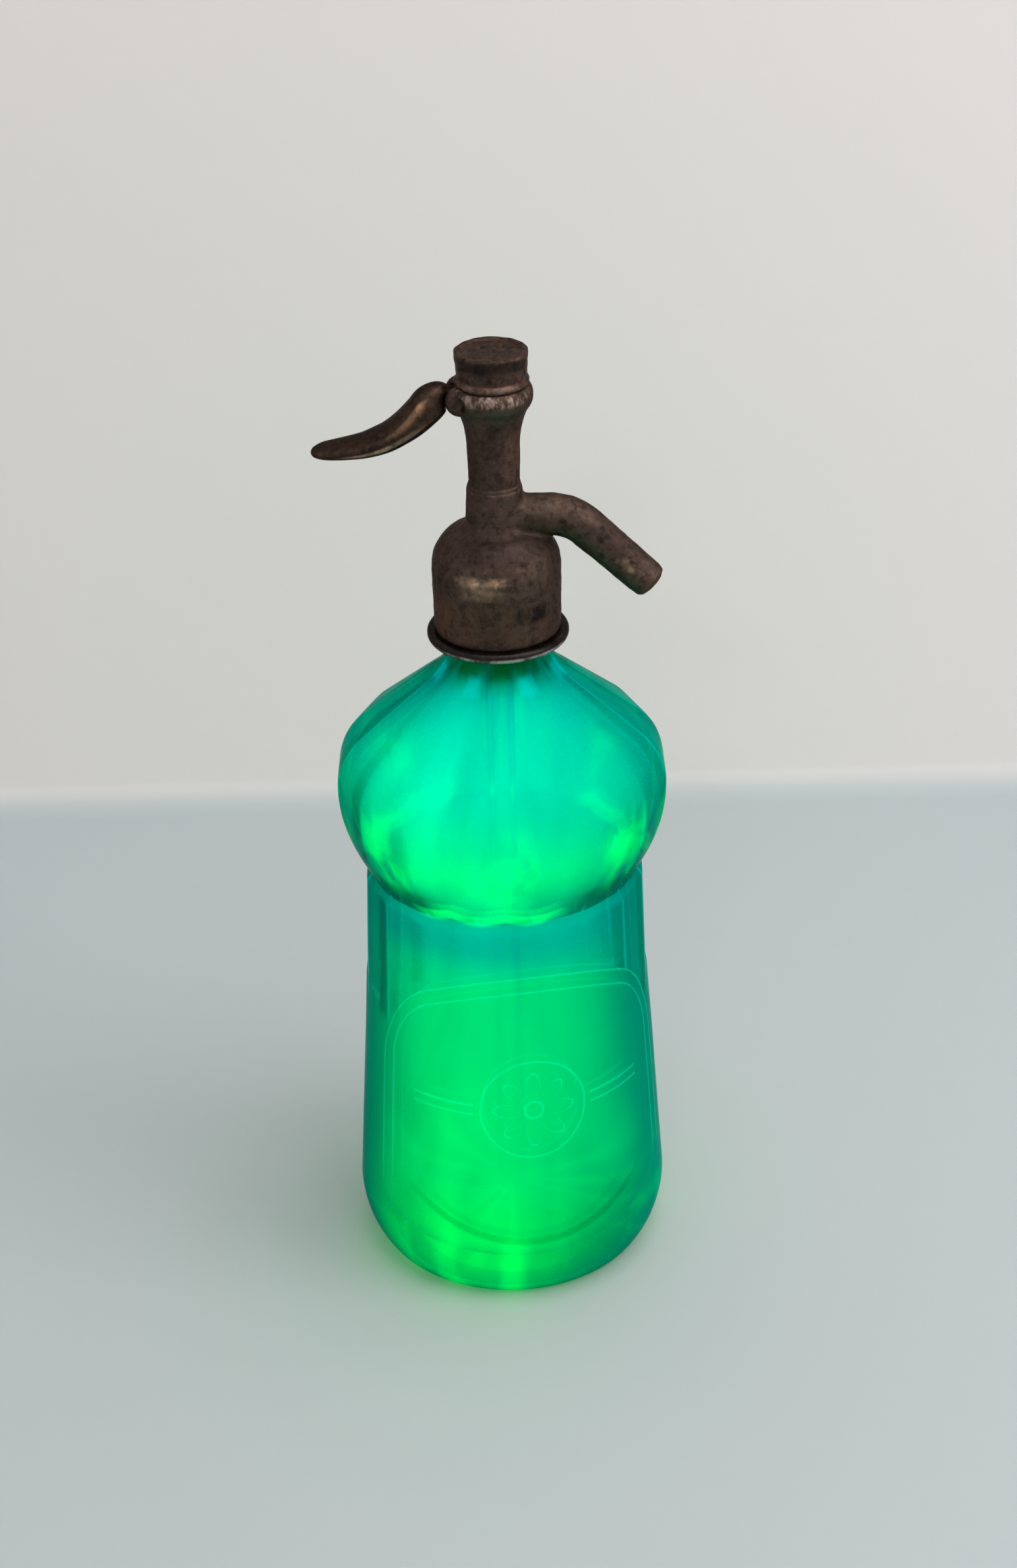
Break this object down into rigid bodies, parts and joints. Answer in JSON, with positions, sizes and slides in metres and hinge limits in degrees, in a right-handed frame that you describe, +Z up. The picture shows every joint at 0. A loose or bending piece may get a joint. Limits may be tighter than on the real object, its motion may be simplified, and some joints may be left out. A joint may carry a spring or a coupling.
{
  "type": "soda siphon",
  "caption": "Moulded glass soda siphon with a fluted bulb, a cast bell and spout, and a thumb lever that lifts a sprung valve.",
  "frame": {"origin": "centre of the bottle's foot, on the surface that it stands on", "axes": "+Z up along the bottle's axis, +X towards the spout, -X towards the lever"},
  "size_m": [0.1113, 0.1086, 0.3311],
  "materials": {
    "green_glass": "clear green moulded glass",
    "tube_glass": "clear drawn glass",
    "rubber": "matte moulded rubber",
    "brass": "turned, dull",
    "collar_metal": "blackened, worn bright on the lower edge",
    "cast_bronze": "cast, dark brown patina",
    "barrel_bronze": "turned, dark patina with green in the hollows",
    "cap_bronze": "turned, near-black patina",
    "lever_bronze": "cast, worn bright on its ridge",
    "pin_steel": "plain",
    "spring_steel": "drawn wire",
    "seal_leather": "greased",
    "fibre": "pressed fibre"
  },
  "bodies": {
    "bottle_and_head": {"bottle": "green_glass", "dip_tube": "tube_glass", "tube_seal": "rubber", "tube_nut": "brass", "neck_gasket": "rubber", "neck_ring_left": "brass", "neck_ring_right": "brass", "collar_nut": "collar_metal", "head_body": "cast_bronze", "valve_seat": "brass", "gland_nut": "brass", "stem_seal": "seal_leather", "packing_washer": "brass", "barrel": "barrel_bronze", "cap": "cap_bronze", "cap_washer": "fibre", "lever_pin": "pin_steel"},
    "lever": {"lever": "lever_bronze"},
    "valve": {"valve_stem": "brass", "valve_holder": "brass", "valve_washer": "rubber", "valve_screw": "brass", "spring_nut": "brass", "valve_spring": "spring_steel"}
  },
  "joints": [
    {"name": "lever_press", "type": "hinge", "parent": "bottle_and_head", "child": "lever", "pos_m": [-0.0098, 0, 0.3165], "axis": [0, -1, 0], "range_deg": [0, 20], "stiffness_Nm_per_rad": 0.147, "springref_deg": -22.92},
    {"name": "valve_lift", "type": "slide", "parent": "bottle_and_head", "child": "valve", "axis": [0, 0, 1], "range_m": [0, 0.0035], "deforming": ["valve_spring"]}
  ],
  "couplings": [
    {"joint": "valve_lift", "follows": "lever_press", "m_per_rad": 0.009901}
  ]
}
